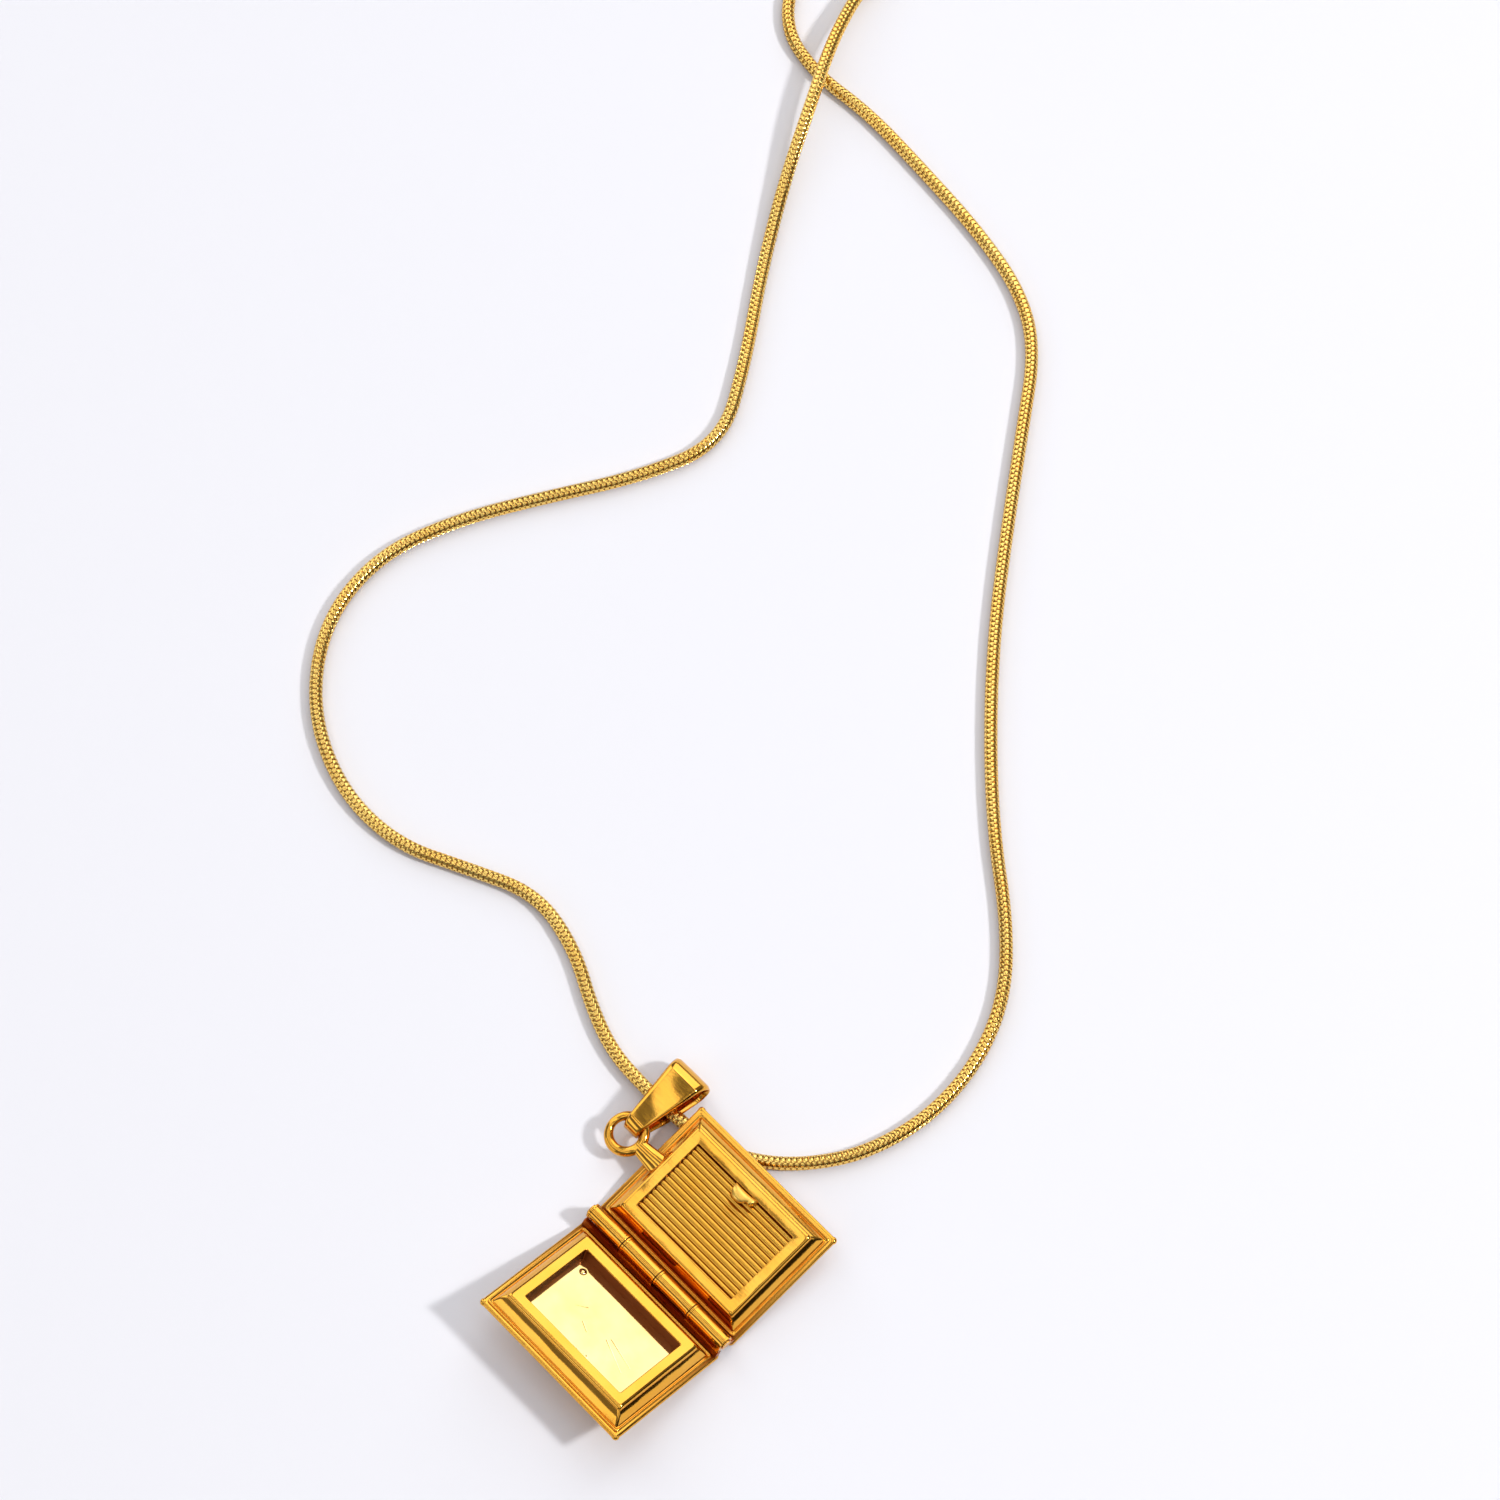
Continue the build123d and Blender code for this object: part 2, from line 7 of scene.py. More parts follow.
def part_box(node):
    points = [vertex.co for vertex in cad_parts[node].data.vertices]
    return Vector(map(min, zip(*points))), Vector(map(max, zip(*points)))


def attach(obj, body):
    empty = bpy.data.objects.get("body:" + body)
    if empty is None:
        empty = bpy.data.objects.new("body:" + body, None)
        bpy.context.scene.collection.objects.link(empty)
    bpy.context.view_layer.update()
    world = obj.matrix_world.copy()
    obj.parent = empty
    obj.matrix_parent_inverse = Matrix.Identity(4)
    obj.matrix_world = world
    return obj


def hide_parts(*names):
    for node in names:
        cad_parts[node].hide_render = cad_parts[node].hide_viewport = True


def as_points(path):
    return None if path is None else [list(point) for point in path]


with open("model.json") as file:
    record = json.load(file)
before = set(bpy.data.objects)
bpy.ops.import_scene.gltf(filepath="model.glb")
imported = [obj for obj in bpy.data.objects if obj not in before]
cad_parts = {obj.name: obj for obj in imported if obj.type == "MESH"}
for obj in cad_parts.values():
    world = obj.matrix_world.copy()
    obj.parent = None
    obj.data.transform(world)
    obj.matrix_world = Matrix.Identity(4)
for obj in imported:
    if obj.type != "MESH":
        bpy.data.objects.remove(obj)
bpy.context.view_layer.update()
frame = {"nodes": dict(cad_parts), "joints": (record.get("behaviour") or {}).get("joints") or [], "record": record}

MM = 0.001
TURN = 2 * math.pi

# ---- the camera: where it looks, from which side, how far off and how wide ----
VIEW_TARGET = Vector((0.04194, 0.02973, 0.0))
VIEW_HEADING = math.radians(44)
VIEW_ELEVATION = math.radians(68)
VIEW_DISTANCE = 0.5
VIEW_WIDTH = 0.14388  # width of the picture at the target
SENSOR_WIDTH = 36
CLIP_NEAR = 0.01
CLIP_FAR = 10

# ---- the chain's route, from the clasp's end to the ring's end ----
CHAIN_DIAMETER = 0.00135
# heights of its middle: on the table, in the bail, where it crosses itself, and in its end caps
FLAT = CHAIN_DIAMETER / 2
IN_BAIL = 0.001075
CROSSING = 0.0025
CAPPED = 0.00095
CHAIN_ROUTE = [
    (0.1445, 0.0970, CAPPED),
    (0.1430, 0.0910, CAPPED),
    (0.1385, 0.0845, FLAT),
    (0.1300, 0.0810, FLAT),
    (0.1195, 0.0820, FLAT),
    (0.1090, 0.0820, 0.0012),
    (0.1014, 0.0791, CROSSING),
    (0.0944, 0.0752, CROSSING),
    (0.0865, 0.0710, 0.0012),
    (0.0780, 0.0655, FLAT),
    (0.0700, 0.0595, FLAT),
    (0.0623, 0.0548, FLAT),
    (0.0540, 0.0578, FLAT),
    (0.0460, 0.0625, FLAT),
    (0.0380, 0.0668, FLAT),
    (0.0300, 0.0693, FLAT),
    (0.0215, 0.0678, FLAT),
    (0.0145, 0.0620, FLAT),
    (0.0108, 0.0540, FLAT),
    (0.0108, 0.0460, FLAT),
    (0.0140, 0.0395, FLAT),
    (0.0170, 0.0330, FLAT),
    (0.0158, 0.0265, FLAT),
    (0.0129, 0.0210, FLAT),
    (0.0113, 0.0165, 0.0008),
    (0.0110, 0.0120, IN_BAIL),
    (0.0111, 0.0072, IN_BAIL),
    (0.0117, 0.0032, FLAT),
    (0.0137, -0.0008, FLAT),
    (0.0170, -0.0042, FLAT),
    (0.0215, -0.0070, FLAT),
    (0.0280, -0.0086, FLAT),
    (0.0350, -0.0080, FLAT),
    (0.0415, -0.0052, FLAT),
    (0.0470, 0.0000, FLAT),
    (0.0525, 0.0073, FLAT),
    (0.0595, 0.0148, FLAT),
    (0.0675, 0.0222, FLAT),
    (0.0760, 0.0289, FLAT),
    (0.0845, 0.0353, FLAT),
    (0.0917, 0.0407, FLAT),
    (0.0952, 0.0463, FLAT),
    (0.0969, 0.0540, FLAT),
    (0.0978, 0.0630, FLAT),
    (0.0984, 0.0710, FLAT),
    (0.0977, 0.0780, FLAT),
    (0.0992, 0.0842, FLAT),
    (0.1055, 0.0885, FLAT),
    (0.1100, 0.0960, FLAT),
    (0.1135, 0.1040, FLAT),
    (0.1195, 0.1095, 0.0008),
    (0.1270, 0.1115, CAPPED),
    (0.1335, 0.1115, CAPPED),
]
ROUTE_STEPS = 24  # between two of the route's points

# ---- the chain's links: each is a ring of plates, every second one set about half a pitch on ----
LINK_PITCH = 0.00053
LINK_COLUMNS = 8
COLUMN_SIDES = (0.06, 0.5, 0.94)  # where a column's points are, as shares of its width
COLUMN_CROWN = 0.05  # how much lower a column's edges are, as a share of the radius
LINK_ROWS = ((0.06, 0.8), (0.15, 0.975), (0.5, 1.0), (0.85, 0.95), (0.94, 0.8))
LINK_OFFSET = 0.46  # of the pitch
LINK_SHADE = 0.33  # painted shade between the links
CHAIN_ROLL = 0.35  # turn of the columns about the chain's own line, in radians
CHAIN_TWIST = 0.5  # how far that turn drifts along the chain
TWIST_STEP = 0.013  # the drift's pace, per link
TWIST_SEED = (0.3, 0.7)

# ---- sizes of the leaves ----
CORNER_STEPS = 6  # in each corner's round
HOLD = 0.015 * MM  # keeps shading flat right up to an edge
FLANGE_INSET = 0.42 * MM
FLANGE_HEIGHT = 0.2 * MM
FLANGE_CORNER = 0.24 * MM
LIP = 0.1 * MM  # radius of the flange's rolled edge
GROOVE_DEPTH = 0.07 * MM
COVER_EDGE = 0.26 * MM
COVER_CORNER = 0.34 * MM
COVER_REACH = 0.3 * MM  # how far the cover runs on below the barrels
LIP_WIDTH = 0.9 * MM  # of the cover's strip beside the barrels, darkened with painted shade and made duller
# strength of the painted shade on that strip
LIP_SHADE = 0.85
NUB_INSET = 0.3 * MM
NUB_RADII = (0.38 * MM, 0.38 * MM, 0.33 * MM)
SLOPE_INSET = 0.72 * MM
SLOPE_STEPS = 14
SLOPE_BOW = 0.11  # how far the slope bulges, as a share of its rise
SLOPE_CORNER = 0.3 * MM
SHOULDER_INSET = 1.5 * MM
SHOULDER = 0.42 * MM  # radius of the roll from the slope to the land
SHOULDER_STEPS = 12
LAND_FALL = 0.05 * MM  # how much lower the land is at the window
BORDER = 2.75 * MM  # from the leaf's edge to its window
EDGE = 0.1 * MM  # radius of the window's rim
WINDOW_CORNER = 0.16 * MM
RIBS = 14
RIB_STEPS = 12  # across each rib
RIB_ROWS = 70
RIB_RISE = 0.15 * MM
RIB_FULLNESS = 0.7  # power of the sine in a rib's section: lower is rounder
RIB_DENT = 0.006 * MM
RIB_DENT_SCALES = (300, 120)  # across and along the ribs, per metre
RIB_DENT_SEED = 4.0
# painted shade in the rib valleys: its strength, and the power of the depth it follows
VALLEY_SHADE = 0.7
VALLEY_POWER = 2
PLATE_COLUMNS = 150
PLATE_ROWS = 230
PLATE_THICKNESS = 0.12 * MM
PLATE_WAVE = 0.012 * MM
PLATE_WAVE_SCALES = (350, 260)
PLATE_WAVE_SEED = 1.5
PIP_INSET = 1.1 * MM
PIP_RADIUS = 0.25 * MM
PIP_HEIGHT = 0.05 * MM
PIP_POWER = 4  # flat on top, and steep at its edge
# the ditch round the pip: its depth, and its radius and width as shares of the pip's radius
DITCH_DEPTH = 0.03 * MM
DITCH_RADIUS = 1.25
DITCH_WIDTH = 0.2
SCRATCH_WIDTH = 0.055 * MM
SCRATCH_DEPTH = 0.02 * MM
# shares of the plate's width and length, each a start and an end
PLATE_SCRATCHES = [
    ((0.52, 0.25), (0.42, 0.33)),
    ((0.60, 0.38), (0.66, 0.46)),
    ((0.92, 0.42), (0.88, 0.60)),
    ((0.88, 0.60), (0.96, 0.66)),
    ((0.50, 0.62), (0.60, 0.88)),
    ((0.55, 0.60), (0.72, 0.86)),
]
TONGUE_RINGS = 22
TONGUE_SIDES = 24
TONGUE_LONG = 2.75 * MM
TONGUE_WIDE = 1.5 * MM
TONGUE_FULLNESS = 0.85  # power of the sine that its width follows
TONGUE_FOOT = 0.62  # how wide its lower half is, against the upper one
TONGUE_LEAN = 0.4  # how far its top leans in over the ribs, as a share of its half width
# the waist and the bead of the tongue's lower end, and where they are along it
TONGUE_WAIST = 0.28
TONGUE_WAIST_AT = 0.66
TONGUE_WAIST_SPAN = 0.06
TONGUE_BEAD = 0.3
TONGUE_BEAD_AT = 0.81
TONGUE_BEAD_SPAN = 0.08

# ---- the bail, along X from its narrow fold to its wide one ----
BAIL_STEPS = 220
RIBBON = 0.35 * MM  # its thickness
RIBBON_STEPS = 14
BAIL_WIDE = 4.3 * MM  # the ribbon's width at each end
BAIL_NARROW = 1.7 * MM
BAIL_FOLD = 0.75 * MM  # inside radius of the narrow fold, and the height of its centre
BAIL_FOLD_HEIGHT = 2.15 * MM
BAIL_BEND = 1.25 * MM  # inside radius of the wide fold
BAIL_BELLY = 11.0 * MM  # X where the lower run comes down flat
BAIL_CROWN = 0.1 * MM  # rise of the ribbon's middle over its edges
BAIL_ARCH = 0.42 * MM  # rise of the upper run over a straight one
BAIL_ARCH_POWER = 1.3
BAIL_REACH = 0.35 * MM  # how far its wide end runs past the CAD's
BAIL_LIP = 0.12 * MM  # how much thicker the ribbon is at the wide end
BAIL_CORNER = 0.42  # width of the ribbon's rounded edge, as a share of its thickness
BAIL_THINNING = 0.92  # how much of its squared thickness the ribbon loses at the very edge

# ---- ring on the back leaf ----
RING_MAJOR = 1.69 * MM
RING_WIRE = 0.5 * MM
RING_THIN = 0.4 * MM  # where the bail holds it
RING_NODE_WIRE = 0.46 * MM  # the CAD ring's wire, which its box ends at
RING_STEPS = 96
NECK_STEPS = 14
NECK_SIDES = 40
NECK_BASE = (1.2 * MM, 0.72 * MM)  # half width along the edge, half height
NECK_WAIST = (0.8 * MM, 0.5 * MM)
NECK_FLARE = 1.5
NECK_SINK = 0.75 * MM  # how far its base runs into the frame's slope

# ---- angles between faces, in degrees, that still shade as one surface ----
SMOOTH_PLATE = 35
SMOOTH_FRAME = 40
SMOOTH_RIBS = 50
SMOOTH_ROUND = 60

# ---- patterns and painted shade in the metal: scales are per metre, depths in metres ----
NOISE_SPAN = (0.3, 0.7)  # where most of a noise texture's values lie
DRIFT_SCALE = 310.0
WARM_SHARES = (1.0, 0.9, 0.7)  # what is left of each channel where the colour drifts warm
# ambient occlusion that paints shade into corners: how far it looks, and the span of its values
CORNER_REACH = 0.0009
CORNER_SPAN = (0.12, 0.72)  # from a closed corner to an open face
HAIR_SCALE = 9000.0
HAIR_STRETCH = (1.0, 0.08, 1.0)
HAIR_TURN = (0.0, 0.0, 0.6)
HAIR_DEPTH = 0.000004
WIPE_SHARES = (0.7, 1.5)  # of the roughness, along the wiping's hairlines
RIPPLE_SCALE = 430.0
RIPPLE_DEPTH = 0.0001
PIT_SCALE = 2600.0
PIT_DEPTH = 0.00002
# colour of the painted shade, and the roughness added with it, where a point attribute marks recesses and the
# strip under the barrels
PAINTED_SHADE_COLOUR = (0.16, 0.03, 0.006)
SHADE_MARK_ROUGHNESS = 0.3

# ---- the metals: colour in the open and the painted shade colour for corners, then how rough, rippled, pitted and scratched ----
METALS = {
    "polished_gold": {
        "light": (0.83, 0.435, 0.065),
        "corner_shade": (0.38, 0.1, 0.012),
        "roughness": 0.11,
        "wave": 0.6,
        "pitting": 0.15,
    },
    "tarnished_gold": {
        "light": (0.45, 0.13, 0.02),
        "corner_shade": (0.16, 0.03, 0.008),
        "roughness": 0.3,
        "wave": 0.3,
        "pitting": 0.5,
    },
    "ribbed_gold": {
        "light": (0.76, 0.41, 0.058),
        "corner_shade": (0.55, 0.22, 0.018),
        "roughness": 0.17,
        "wave": 0.15,
        "pitting": 0.1,
    },
    "mirror_gold": {
        "light": (0.92, 0.71, 0.3),
        "corner_shade": (0.7, 0.4, 0.08),
        "roughness": 0.08,
        "wave": 0.25,
        "pitting": 0.1,
        "scratch": 0.2,
    },
    "satin_gold": {
        "light": (0.95, 0.6, 0.13),
        "corner_shade": (0.6, 0.25, 0.03),
        "roughness": 0.3,
        "wave": 0.4,
        "pitting": 0.4,
    },
    "chain_gold": {
        "light": (1.0, 0.69, 0.19),
        "corner_shade": (0.32, 0.1, 0.015),
        "roughness": 0.16,
        "wave": 0.05,
        "pitting": 0.1,
    },
    "fitting_gold": {
        "light": (0.93, 0.6, 0.14),
        "corner_shade": (0.42, 0.15, 0.02),
        "roughness": 0.16,
        "wave": 0.15,
        "pitting": 0.12,
    },
    "spring_steel": {
        "light": (0.52, 0.5, 0.47),
        "corner_shade": (0.2, 0.18, 0.16),
        "roughness": 0.28,
        "wave": 0.05,
        "pitting": 0.3,
    },
}
# the CAD nodes that aren't of polished gold
NODE_METALS = {
    "clasp_body": "fitting_gold",
    "clasp_lever": "fitting_gold",
    "clasp_pin": "fitting_gold",
    "clasp_spring": "spring_steel",
    "clasp_jump_ring": "fitting_gold",
    "end_cap_clasp_side": "fitting_gold",
    "end_cap_ring_side": "fitting_gold",
    "end_ring": "fitting_gold",
    "back_hinge_strip": "tarnished_gold",
    "front_hinge_strip": "tarnished_gold",
}

# ---- floor and room ----
FLOOR_REACH = 3.0
FLOOR_COLOUR = (0.85, 0.847, 0.89)
FLOOR_ROUGHNESS = 0.75
ROOM_LIGHT = (0.2, 0.2, 0.215)
ROOM_DARK = (0.022, 0.02, 0.019)
DARK_HEADING = math.radians(130)
DARK_ELEVATION = math.radians(12)
DARK_SPAN = (0.35, 0.9)  # cosines of the angle off the dark side, from its rim to its core


def strip(tilt):
    """A long soft box over the picture, tilted off upright across it by some degrees."""
    return 60 if tilt > 0 else -120, 90 - abs(tilt), 1.15, (1.3, 0.18), 1.08


# ---- soft boxes: heading and elevation in degrees, distance, size and power ----
LAMPS = {
    "key": (104, 45, 1.2, (0.12, 0.12), 7.6),
    "strip_0": strip(-28),
    "strip_1": strip(-9.5),
    "strip_2": strip(9.5),
    "strip_3": strip(28),
    "window_left": (-35, 33, 1.3, (0.8, 1.1), 4.2),
    "window_right": (27, 33, 1.3, (0.75, 1.1), 4.4),
    "side": (-110, 25, 1.4, (1.0, 0.5), 2.0),
    "fill": (150, 45, 1.3, (0.9, 0.6), 1.0),
}


# ---------------------------------------------------------------- camera
def aim(obj, place, target):
    """Puts an object somewhere, looking at a point along its own -Z."""
    obj.location = place
    obj.rotation_mode = "QUATERNION"
    obj.rotation_quaternion = (target - place).to_track_quat("-Z", "Y")


def from_target(heading, elevation, distance):
    """A point seen from the view's target: heading 0 is +Y, and grows towards +X."""
    flat = math.cos(elevation)
    return VIEW_TARGET + distance * Vector(
        (flat * math.sin(heading), flat * math.cos(heading), math.sin(elevation))
    )


def make_camera():
    data = bpy.data.cameras.new("camera")
    data.sensor_width = SENSOR_WIDTH
    data.lens = SENSOR_WIDTH * VIEW_DISTANCE / VIEW_WIDTH
    data.clip_start = CLIP_NEAR
    data.clip_end = CLIP_FAR
    camera = bpy.data.objects.new("camera", data)
    bpy.context.scene.collection.objects.link(camera)
    aim(camera, from_target(VIEW_HEADING + math.pi, VIEW_ELEVATION, VIEW_DISTANCE), VIEW_TARGET)
    bpy.context.scene.camera = camera


make_camera()


# ---------------------------------------------------------------- mesh helpers
def piece(name, points, faces, body, replaced=(), smooth_angle=SMOOTH_PLATE):
    """A mesh that rides on a body, with smooth shading across gentle edges."""
    mesh = bpy.data.meshes.new(name)
    mesh.from_pydata(points, [], faces)
    mesh.validate()
    mesh.update()
    mesh.shade_smooth()
    mesh.set_sharp_from_angle(angle=math.radians(smooth_angle))
    obj = bpy.data.objects.new(name, mesh)
    bpy.context.scene.collection.objects.link(obj)
    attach(obj, body)
    if replaced:
        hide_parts(*replaced)
    return obj


def bridge(faces, low, high, count):
    """Quads between two closed rows of points that start at low and high."""
    for side in range(count):
        after = (side + 1) % count
        faces.append((low + side, low + after, high + after, high + side))


def painted_shade(obj, amounts):
    """Marks painted shade at each point, how dark and dull the metal is drawn there, for the gold's own nodes to
    read.
    """
    layer = obj.data.attributes.new("painted_shade", "FLOAT", "POINT")
    layer.data.foreach_set("value", amounts)


# ---------------------------------------------------------------- chain
def route_points(name, route):
    """The points of the smooth curve that a route's control points make."""
    curve = bpy.data.curves.new(name, "CURVE")
    curve.dimensions = "3D"
    curve.resolution_u = ROUTE_STEPS
    spline = curve.splines.new("NURBS")
    spline.points.add(len(route) - 1)
    for point, place in zip(spline.points, route):
        point.co = (*place, 1)
    spline.order_u = 3
    spline.use_endpoint_u = True
    holder = bpy.data.objects.new(name, curve)
    mesh = bpy.data.meshes.new_from_object(holder)
    points = [vertex.co.copy() for vertex in mesh.vertices]
    bpy.data.meshes.remove(mesh)
    bpy.data.objects.remove(holder)
    bpy.data.curves.remove(curve)
    return points


class Path:
    """A line of points that can be read at any distance along it."""

    def __init__(self, points):
        self.points = points
        self.along = [0.0]
        for before, after in zip(points, points[1:]):
            self.along.append(self.along[-1] + (after - before).length)
        self.length = self.along[-1]
        self.place = 0

    def at(self, distance):
        """The point at a distance, and the heading there.  Distances mostly grow."""
        distance = min(max(distance, 0.0), self.length)
        while self.place > 0 and self.along[self.place] > distance:
            self.place -= 1
        while self.place < len(self.points) - 2 and self.along[self.place + 1] < distance:
            self.place += 1
        start, end = self.points[self.place], self.points[self.place + 1]
        share = (distance - self.along[self.place]) / (end - start).length
        return start.lerp(end, share), (end - start).normalized()


def across(heading):
    """Two directions square to a heading: level, and as near to upright as can be."""
    level = heading.cross(Vector((0, 0, 1))).normalized()
    return level, level.cross(heading)


def snake_chain(path):
    """Ring after ring of small crowned plates, every second column set about half a pitch on."""
    points, faces = [], []
    links = int(path.length / LINK_PITCH)
    pitch = path.length / links
    around = LINK_COLUMNS * len(COLUMN_SIDES)
    for link in range(links):
        roll = CHAIN_ROLL + CHAIN_TWIST * noise.noise(Vector((link * TWIST_STEP, *TWIST_SEED)))
        for share, size in LINK_ROWS:
            for column in range(LINK_COLUMNS):
                offset = LINK_OFFSET * (column % 2)
                centre, heading = path.at((link + share + offset) * pitch)
                level, up = across(heading)
                for side in COLUMN_SIDES:
                    angle = (column + side) / LINK_COLUMNS * TURN + roll
                    crown = 1 - COLUMN_CROWN * (2 * side - 1) ** 2
                    radius = CHAIN_DIAMETER / 2 * size * crown
                    points.append(centre + radius * (math.cos(angle) * level + math.sin(angle) * up))
    last = len(points) - around
    for row in range(0, last, around):
        bridge(faces, row, row + around, around)
    faces.append(tuple(reversed(range(around))))
    faces.append(tuple(range(last, last + around)))
    chain = piece("snake_chain_links", points, faces, "chain", ["snake_chain"])
    # painted shade between the links: darker where the link rows sit lower
    deepest = 1 - min(size for share, size in LINK_ROWS)
    one_link = [LINK_SHADE * (1 - size) / deepest for share, size in LINK_ROWS for side in range(around)]
    painted_shade(chain, one_link * links)
    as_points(path.points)
    return chain


chain_path = Path(route_points("chain_route", CHAIN_ROUTE))
chain = snake_chain(chain_path)


# ---------------------------------------------------------------- the leaves' own frames
joints = {joint["name"]: joint for joint in frame["joints"]}
mounts = {mount["name"]: mount for mount in frame["record"]["mounts"]}
hinge = Vector(joints["locket_hinge"]["pos_m"])


def leaf_space(up, along):
    """A leaf's own frame: u out from the hinge, v along it, n out of the inner face."""
    matrix = Matrix((along.cross(up), along, up)).transposed().to_4x4()
    matrix.translation = hinge
    return matrix


BACK = leaf_space(Vector(joints["pendant_turn"]["axis"]), Vector((0, 1, 0)))
FRONT = leaf_space(Vector(mounts["picture_seat"]["axis"]), Vector((0, -1, 0)))


def extent(node, space):
    """Lowest and highest corner of a CAD node in a leaf's own frame."""
    inverse = space.inverted()
    places = [inverse @ vertex.co for vertex in frame["nodes"][node].data.vertices]
    low = Vector([min(place[axis] for place in places) for axis in range(3)])
    high = Vector([max(place[axis] for place in places) for axis in range(3)])
    return low, high


def outline(low, high, inset, radius):
    """Points round a rectangle drawn in by an inset, with rounded corners."""
    points = []
    for corner in range(4):
        centre_u = high.x - inset - radius if corner in (0, 3) else low.x + inset + radius
        centre_v = high.y - inset - radius if corner in (0, 1) else low.y + inset + radius
        for step in range(CORNER_STEPS + 1):
            angle = (corner + step / CORNER_STEPS) * TURN / 4
            points.append((centre_u + radius * math.cos(angle), centre_v + radius * math.sin(angle)))
    return points


def moulding(low, high, rows, closed):
    """Rows of (inset, height, corner radius) joined round a rectangle: a ring, or a capped plate."""
    points, faces = [], []
    around = 4 * (CORNER_STEPS + 1)
    for inset, height, radius in rows:
        points += [Vector((u, v, height)) for u, v in outline(low, high, inset, radius)]
    for row in range(len(rows) - 1):
        bridge(faces, row * around, (row + 1) * around, around)
    last = (len(rows) - 1) * around
    if closed:
        bridge(faces, last, 0, around)
    else:
        faces.append(tuple(reversed(range(around))))
        faces.append(tuple(range(last, last + around)))
    return points, faces


def arc_rows(inset, height, radius, first, last, corner, steps=5):
    """Rows along an arc about (inset, height), its angle in degrees from the inward level."""
    rows = []
    for step in range(steps + 1):
        angle = math.radians(first + (last - first) * step / steps)
        rows.append((inset + radius * math.cos(angle), height + radius * math.sin(angle), corner))
    return rows


def ball(points, faces, centre, radii, rings=10, sides=20):
    """Adds a closed ellipsoid."""
    first = len(points)
    for ring in range(1, rings):
        tilt = math.pi * ring / rings
        for side in range(sides):
            angle = TURN * side / sides
            points.append(
                centre
                + Vector(
                    (
                        radii[0] * math.sin(tilt) * math.cos(angle),
                        radii[1] * math.sin(tilt) * math.sin(angle),
                        -radii[2] * math.cos(tilt),
                    )
                )
            )
    for ring in range(rings - 2):
        bridge(faces, first + ring * sides, first + (ring + 1) * sides, sides)
    faces.append(tuple(reversed(range(first, first + sides))))
    faces.append(tuple(range(first + (rings - 2) * sides, first + (rings - 1) * sides)))


def placed(points, space):
    return [space @ point for point in points]


# ---------------------------------------------------------------- covers and frames
def leaf_rectangle(frame_node, space):
    """The leaf's full rectangle at the cover's inner face, from the frame that stands in it."""
    low, high = extent(frame_node, space)
    margin = Vector((FLANGE_INSET, FLANGE_INSET, 0))
    return low - margin, high + margin


def make_cover(name, node, frame_node, space, body):
    """Outer plate with a rounded rim, a nub at each outer corner, and a lip below the barrels, with painted shade
    on its strip beside the barrels.
    """
    low, high = leaf_rectangle(frame_node, space)
    low.x -= COVER_REACH
    bottom = extent(node, space)[0].z
    top = low.z
    edge = COVER_EDGE
    rows = [(edge + HOLD, bottom, COVER_CORNER)]
    rows += arc_rows(edge, bottom + edge, edge, 270, 180, COVER_CORNER)
    rows += arc_rows(edge, top - edge, edge, 180, 90, COVER_CORNER)
    rows += [(edge + HOLD, top, COVER_CORNER)]
    points, faces = moulding(low, high, rows, closed=False)
    for v in (low.y + NUB_INSET, high.y - NUB_INSET):
        ball(points, faces, Vector((high.x - NUB_INSET, v, (bottom + top) / 2)), NUB_RADII)
    cover = piece(name, placed(points, space), faces, body, [node])
    # painted shade, and a duller finish, on the strip of the top face beside the barrels
    lip = [point.x < low.x + LIP_WIDTH and point.z > top - HOLD for point in points]
    painted_shade(cover, [LIP_SHADE if dull else 0.0 for dull in lip])
    return cover


def frame_rows(base, land):
    """Profile of a leaf's frame, from its flange over the roll and down the window's wall."""
    flange = base + FLANGE_HEIGHT
    corner = FLANGE_CORNER
    rows = [(FLANGE_INSET, base, corner)]
    rows += arc_rows(FLANGE_INSET + LIP, flange - LIP, LIP, 180, 45, corner)
    rows += [(SLOPE_INSET - LIP / 2, flange - GROOVE_DEPTH, corner)]
    shoulder = land - SHOULDER
    start = Vector((SLOPE_INSET, flange - GROOVE_DEPTH))
    end = Vector((SHOULDER_INSET, shoulder))
    for step in range(SLOPE_STEPS + 1):
        share = step / SLOPE_STEPS
        bow = share + SLOPE_BOW * math.sin(math.pi * share)
        inset = start.x + (end.x - start.x) * share
        rows.append((inset, start.y + (end.y - start.y) * bow, corner + (SLOPE_CORNER - corner) * share))
    roll = SHOULDER_INSET + SHOULDER
    rows += arc_rows(roll, shoulder, SHOULDER, 172, 92, SLOPE_CORNER, SHOULDER_STEPS)
    rows += [(BORDER - EDGE - 2 * HOLD, land - LAND_FALL, WINDOW_CORNER + EDGE)]
    window_top = land - LAND_FALL - EDGE
    rows += arc_rows(BORDER - EDGE, window_top, EDGE, 84, 0, WINDOW_CORNER)
    walls = len(rows)
    rows += [(BORDER, window_top - HOLD, WINDOW_CORNER), (BORDER, base, WINDOW_CORNER)]
    return rows, walls


def make_frame(name, node, space, body):
    """Inner stamping: thin flange, a mitred slope that rolls over to the land, and the window, its walls darkened
    with painted shade.
    """
    low, high = leaf_rectangle(node, space)
    rows, walls = frame_rows(low.z, high.z)
    points, faces = moulding(low, high, rows, closed=True)
    made = piece(name, placed(points, space), faces, body, [node], SMOOTH_FRAME)
    around = len(points) // len(rows)
    # painted shade on the window's walls
    painted_shade(made, [1.0 if index // around >= walls else 0.0 for index in range(len(points))])
    return made


back_cover = make_cover("back_cover_plate", "back_cover", "back_frame", BACK, "locket_back")
front_cover = make_cover("front_cover_plate", "front_cover", "front_frame", FRONT, "locket_front")
back_frame = make_frame("back_frame_stamping", "back_frame", BACK, "locket_back")
front_frame = make_frame("front_frame_stamping", "front_frame", FRONT, "locket_front")


